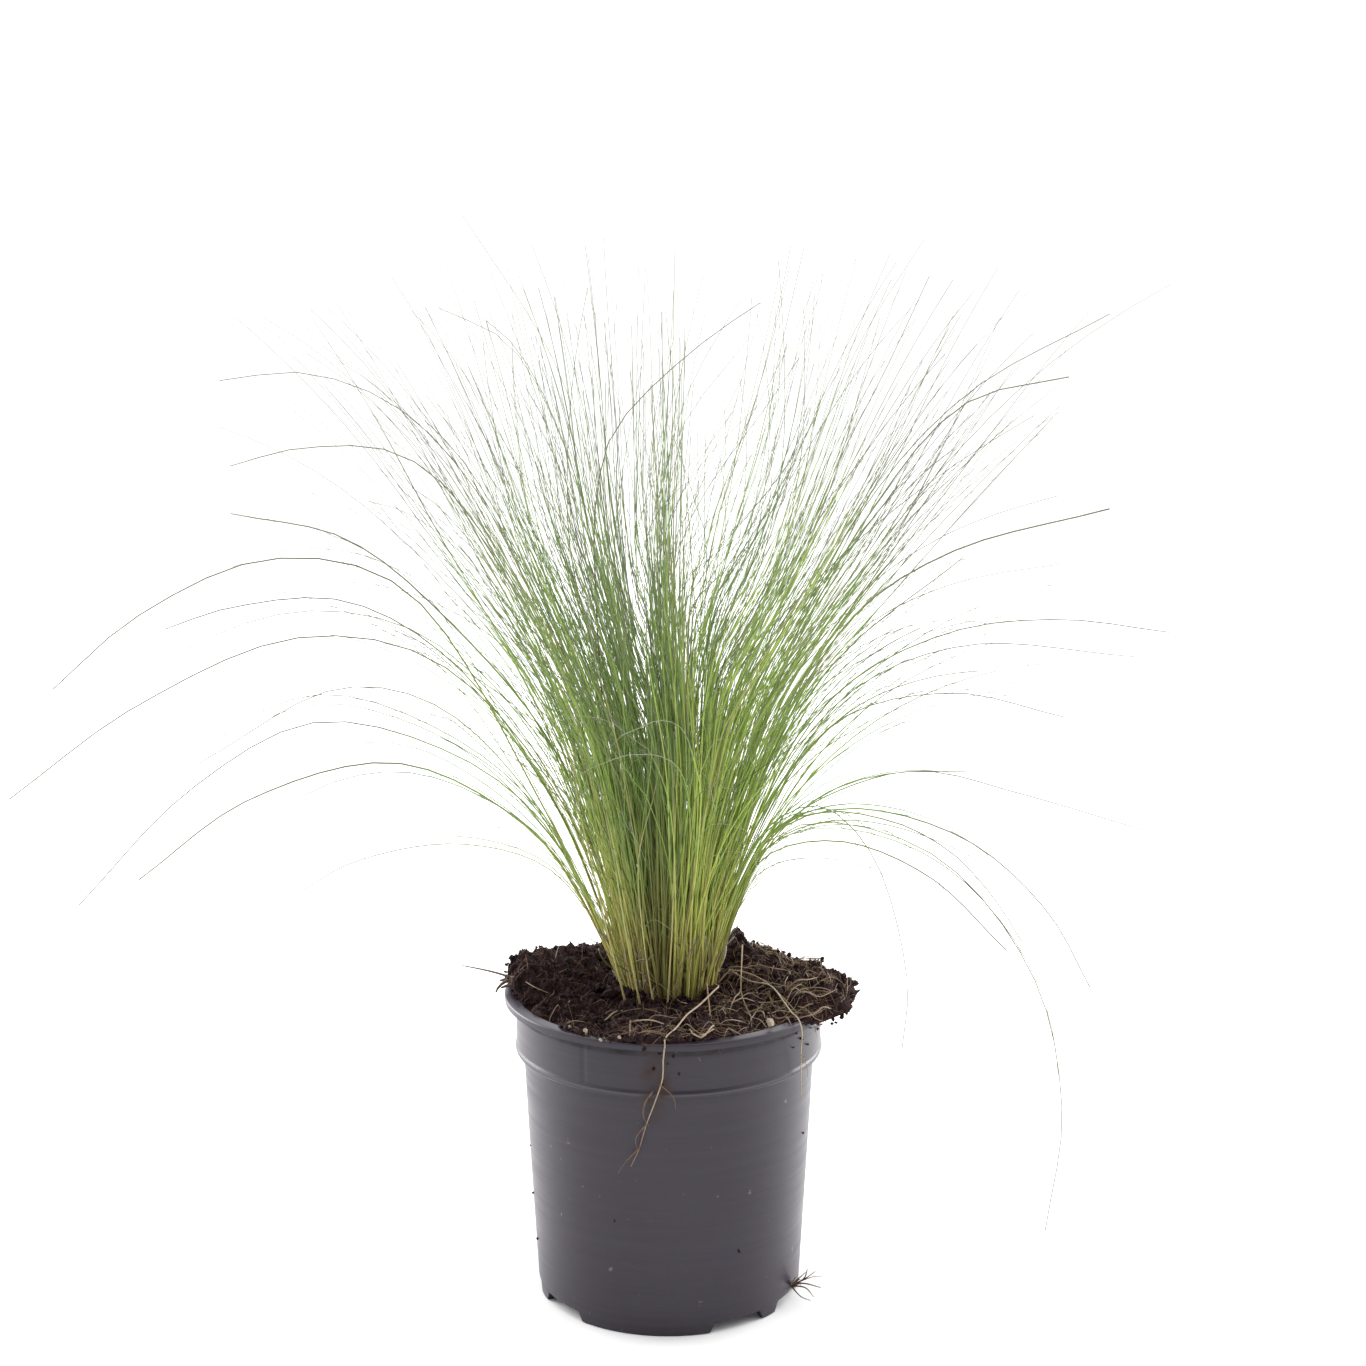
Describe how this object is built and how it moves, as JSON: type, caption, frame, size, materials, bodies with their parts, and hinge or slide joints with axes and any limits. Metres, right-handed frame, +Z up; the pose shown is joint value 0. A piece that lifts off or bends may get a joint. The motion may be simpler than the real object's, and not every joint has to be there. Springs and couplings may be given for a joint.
{
  "type": "potted mexican feather grass",
  "caption": "Tuft of thread-fine ornamental grass arching out of a round black nursery pot filled with peat soil.",
  "frame": {"origin": "middle of the foot under the centre of the pot, on the surface that the pot stands on", "axes": "+Z up through the pot and the tuft; +X to the right and -Y towards the viewer, from where the heap of soil that overhangs the lip is on the right"},
  "size_m": [0.448, 0.3345, 0.422],
  "materials": {
    "pot_plastic": "satin black recycled polypropylene with fine moulding lines",
    "peat_soil": "rough dark peat with fibres and a few pale grains",
    "dry_root": "dry, matt, pale brown",
    "grass_blade": "fresh green with straw-coloured base and tips, slightly glossy"
  },
  "bodies": {
    "root": {"pot": "pot_plastic", "soil": "peat_soil", "root_front": "dry_root", "root_right": "dry_root", "tiller_bunch_1": "grass_blade", "tiller_bunch_2": "grass_blade", "tiller_bunch_3": "grass_blade", "tiller_bunch_4": "grass_blade", "tiller_bunch_5": "grass_blade", "tiller_bunch_6": "grass_blade", "tiller_bunch_7": "grass_blade", "tiller_bunch_8": "grass_blade"}
  },
  "joints": []
}
